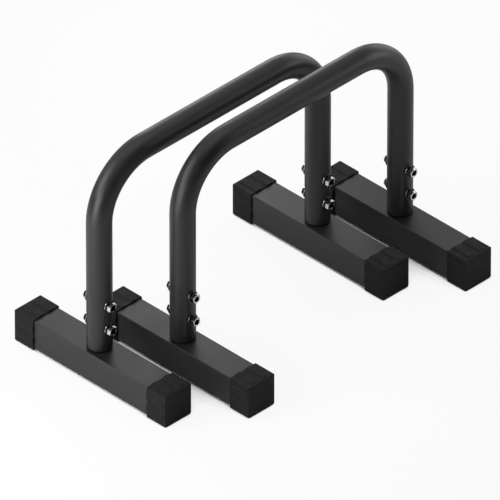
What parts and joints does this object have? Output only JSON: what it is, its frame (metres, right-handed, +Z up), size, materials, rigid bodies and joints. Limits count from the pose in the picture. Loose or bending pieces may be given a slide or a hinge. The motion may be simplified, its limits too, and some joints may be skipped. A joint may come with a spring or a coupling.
{
  "type": "parallette bars",
  "caption": "Low parallette bars: round-tube grips bent into arches, bolted on square-tube feet with ribbed rubber end caps. The bars stand loose on the floor, nested side by side.",
  "frame": {"origin": "on the floor, midway between the two bars in X and Y", "axes": "+X along the grips, +Y across the feet towards the left bar, +Z up"},
  "size_m": [0.627, 0.3934, 0.3947],
  "materials": {
    "satin_black_coating": "satin black powder coat on steel tube",
    "black_rubber": "matt black moulded rubber",
    "zinc_plated_steel": "bright zinc plate",
    "dark_washer_steel": "blackened steel, worn bright along its rim"
  },
  "bodies": {
    "left_bar": {"left_handle_bar": "satin_black_coating", "left_rear_foot_tube": "satin_black_coating", "left_rear_spigot": "satin_black_coating", "left_rear_spigot_weld": "satin_black_coating", "left_rear_bolts": "zinc_plated_steel", "left_rear_head_washers": "dark_washer_steel", "left_rear_nut_washers": "dark_washer_steel", "left_rear_nuts": "zinc_plated_steel", "left_rear_outer_cap": "black_rubber", "left_rear_inner_cap": "black_rubber", "left_front_foot_tube": "satin_black_coating", "left_front_spigot": "satin_black_coating", "left_front_spigot_weld": "satin_black_coating", "left_front_bolts": "zinc_plated_steel", "left_front_head_washers": "dark_washer_steel", "left_front_nut_washers": "dark_washer_steel", "left_front_nuts": "zinc_plated_steel", "left_front_outer_cap": "black_rubber", "left_front_inner_cap": "black_rubber"},
    "right_bar": {"right_handle_bar": "satin_black_coating", "right_rear_foot_tube": "satin_black_coating", "right_rear_spigot": "satin_black_coating", "right_rear_spigot_weld": "satin_black_coating", "right_rear_bolts": "zinc_plated_steel", "right_rear_head_washers": "dark_washer_steel", "right_rear_nut_washers": "dark_washer_steel", "right_rear_nuts": "zinc_plated_steel", "right_rear_outer_cap": "black_rubber", "right_rear_inner_cap": "black_rubber", "right_front_foot_tube": "satin_black_coating", "right_front_spigot": "satin_black_coating", "right_front_spigot_weld": "satin_black_coating", "right_front_bolts": "zinc_plated_steel", "right_front_head_washers": "dark_washer_steel", "right_front_nut_washers": "dark_washer_steel", "right_front_nuts": "zinc_plated_steel", "right_front_outer_cap": "black_rubber", "right_front_inner_cap": "black_rubber"}
  },
  "joints": [
    {"name": "spacing_slide", "type": "slide", "parent": "left_bar", "child": "right_bar", "axis": [0, -1, 0], "range_m": [0, 0.5]}
  ]
}
